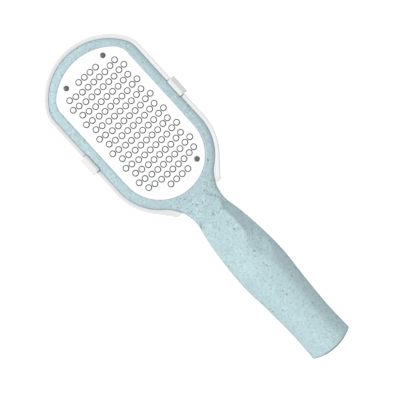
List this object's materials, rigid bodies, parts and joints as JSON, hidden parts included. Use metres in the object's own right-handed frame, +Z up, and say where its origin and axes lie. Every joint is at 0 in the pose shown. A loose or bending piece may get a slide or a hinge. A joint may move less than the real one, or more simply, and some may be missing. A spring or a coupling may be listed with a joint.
{
  "type": "foot file",
  "caption": "Long-handled foot file with a punched steel rasp plate in an oval frame and a clip-on tray under it that catches the dust.",
  "frame": {"origin": "middle of the bounding box, on the surface that the file lies on with its rasp face up", "axes": "+X from the head's tip to the end of the handle, +Y across the head, +Z up out of the rasp face"},
  "size_m": [0.242, 0.076, 0.0236],
  "materials": {
    "speckled_plastic": "satin moulded plastic with fine plant-fibre speckles",
    "rasp_steel": "bright stainless steel with punched teeth",
    "rivet_steel": "dull grey steel",
    "tray_plastic": "satin white moulded plastic"
  },
  "bodies": {
    "handle": {"handle_top_shell": "speckled_plastic", "handle_bottom_shell": "speckled_plastic", "rasp_plate": "rasp_steel", "rivet_tip_left": "rivet_steel", "rivet_tip_right": "rivet_steel", "rivet_rear_right": "rivet_steel"},
    "tray": {"debris_tray": "tray_plastic"},
    "left_latch": {"latch_left": "tray_plastic"},
    "right_latch": {"latch_right": "tray_plastic"}
  },
  "joints": [
    {"name": "tray_pull", "type": "slide", "parent": "handle", "child": "tray", "axis": [0, 0, -1], "range_m": [0, 0.03]},
    {"name": "latch_left_flex", "type": "hinge", "parent": "tray", "child": "left_latch", "pos_m": [-0.0601, -0.0354, 0.0065], "axis": [1, 0, 0], "range_deg": [0, 8], "stiffness_Nm_per_rad": 0.08},
    {"name": "latch_right_flex", "type": "hinge", "parent": "tray", "child": "right_latch", "pos_m": [-0.0601, 0.0354, 0.0065], "axis": [-1, 0, 0], "range_deg": [0, 8], "stiffness_Nm_per_rad": 0.08}
  ]
}
